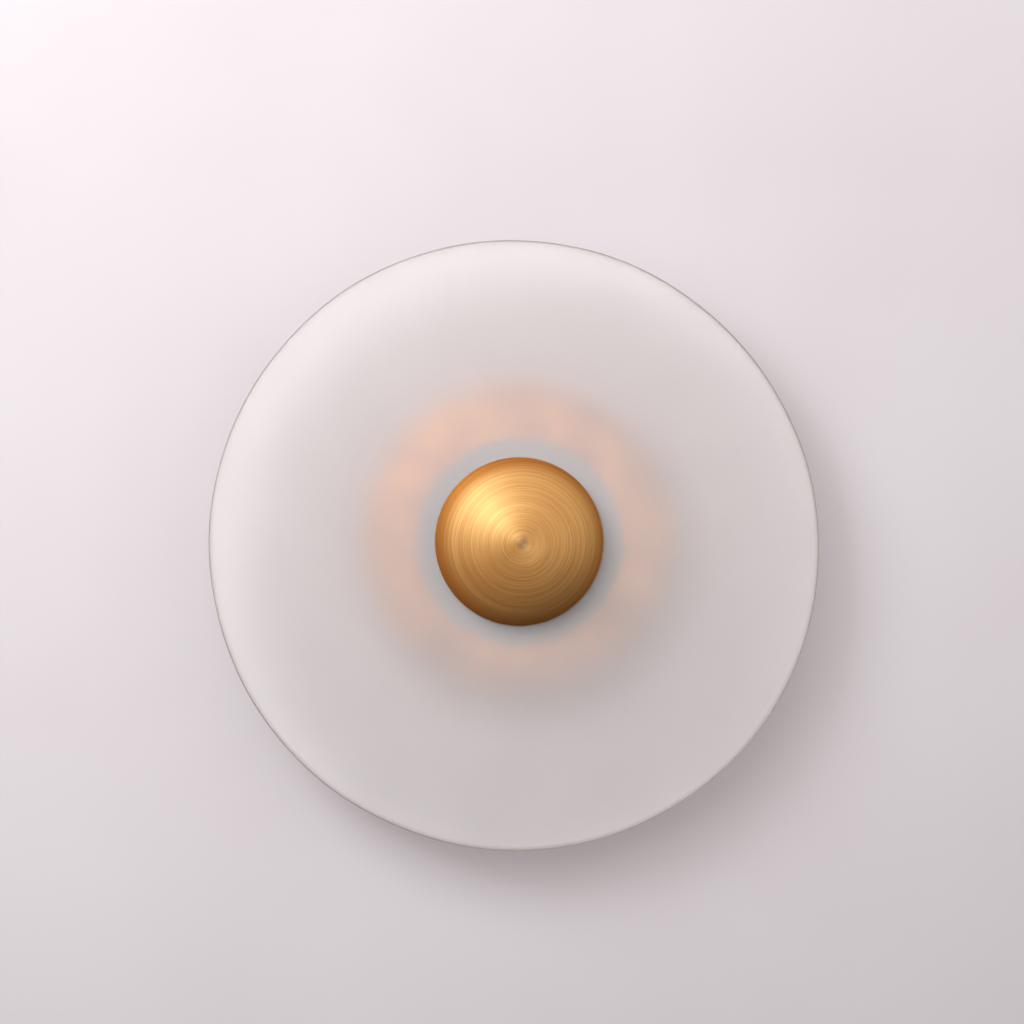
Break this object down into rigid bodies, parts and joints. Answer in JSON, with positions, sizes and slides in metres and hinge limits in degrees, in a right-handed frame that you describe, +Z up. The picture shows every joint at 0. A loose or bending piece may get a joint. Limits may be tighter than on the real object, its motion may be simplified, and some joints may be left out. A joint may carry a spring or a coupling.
{
  "type": "wall light",
  "caption": "Round wall light: a frosted hand-made glass disc clamped by a screw-on brushed brass dome, in front of a domed brass canopy with an LED ring.",
  "frame": {"origin": "middle of the mounting bracket's back face, on the wall", "axes": "+Z up, +Y into the wall, the light faces -Y, +X to the right of a viewer"},
  "size_m": [0.2999, 0.0553, 0.3002],
  "materials": {
    "aged_brass": "spun brass, satin, lightly aged",
    "brushed_brass": "spun brass, brushed in fine circles round the middle",
    "turned_brass": "turned, plain",
    "brass_screw": "turned, plain",
    "frosted_glass": "hand-made, etched to an even frost",
    "opal_plastic": "opal white, satin",
    "zinc_steel": "bright zinc plated",
    "steel_screw": "bright zinc plated",
    "aluminium_sheet": "mill finish",
    "turned_aluminium": "turned, plain",
    "tinned_copper": "tinned",
    "black_rubber": "matt",
    "clear_silicone": "translucent",
    "white_nylon": "natural",
    "white_plastic": "fine matt",
    "white_board": "white solder resist",
    "led_phosphor": "yellow phosphor in a white frame",
    "grey_insulation": "smooth",
    "green_insulation": "smooth",
    "red_insulation": "smooth"
  },
  "bodies": {
    "light": {"mounting_bracket": "zinc_steel", "cable_grommet": "black_rubber", "earth_screw": "brass_screw", "ring_terminal": "tinned_copper", "canopy": "aged_brass", "canopy_screws": "brass_screw", "lead_grommet": "black_rubber", "heat_spreader": "aluminium_sheet", "led_board": "white_board", "led_chips": "led_phosphor", "board_screws": "steel_screw", "diffuser_ring": "opal_plastic", "hub_sleeve": "turned_aluminium", "centre_stud": "zinc_steel", "rear_nut": "zinc_steel", "lock_washer": "zinc_steel", "rear_gasket": "clear_silicone", "glass_disc": "frosted_glass", "glass_bush": "white_nylon", "led_driver": "white_plastic", "driver_screws": "steel_screw", "terminal_block": "white_plastic", "terminal_screws": "steel_screw", "terminal_fixing_screws": "steel_screw", "mains_leads": "grey_insulation", "earth_lead": "green_insulation", "led_leads": "red_insulation"},
    "slip_ring": {"slip_washer": "white_nylon"},
    "cap": {"cap_dome": "brushed_brass", "cap_boss": "turned_brass"}
  },
  "joints": [
    {"name": "cap_travel", "type": "slide", "parent": "light", "child": "slip_ring", "axis": [0, -1, 0], "range_m": [0, 0.006]},
    {"name": "cap_turn", "type": "hinge", "parent": "slip_ring", "child": "cap", "pos_m": [0, -0.035, 0], "axis": [0, -1, 0], "range_deg": [0, 2160]}
  ],
  "couplings": [
    {"joint": "cap_travel", "follows": "cap_turn", "m_per_rad": 0.00015915}
  ]
}
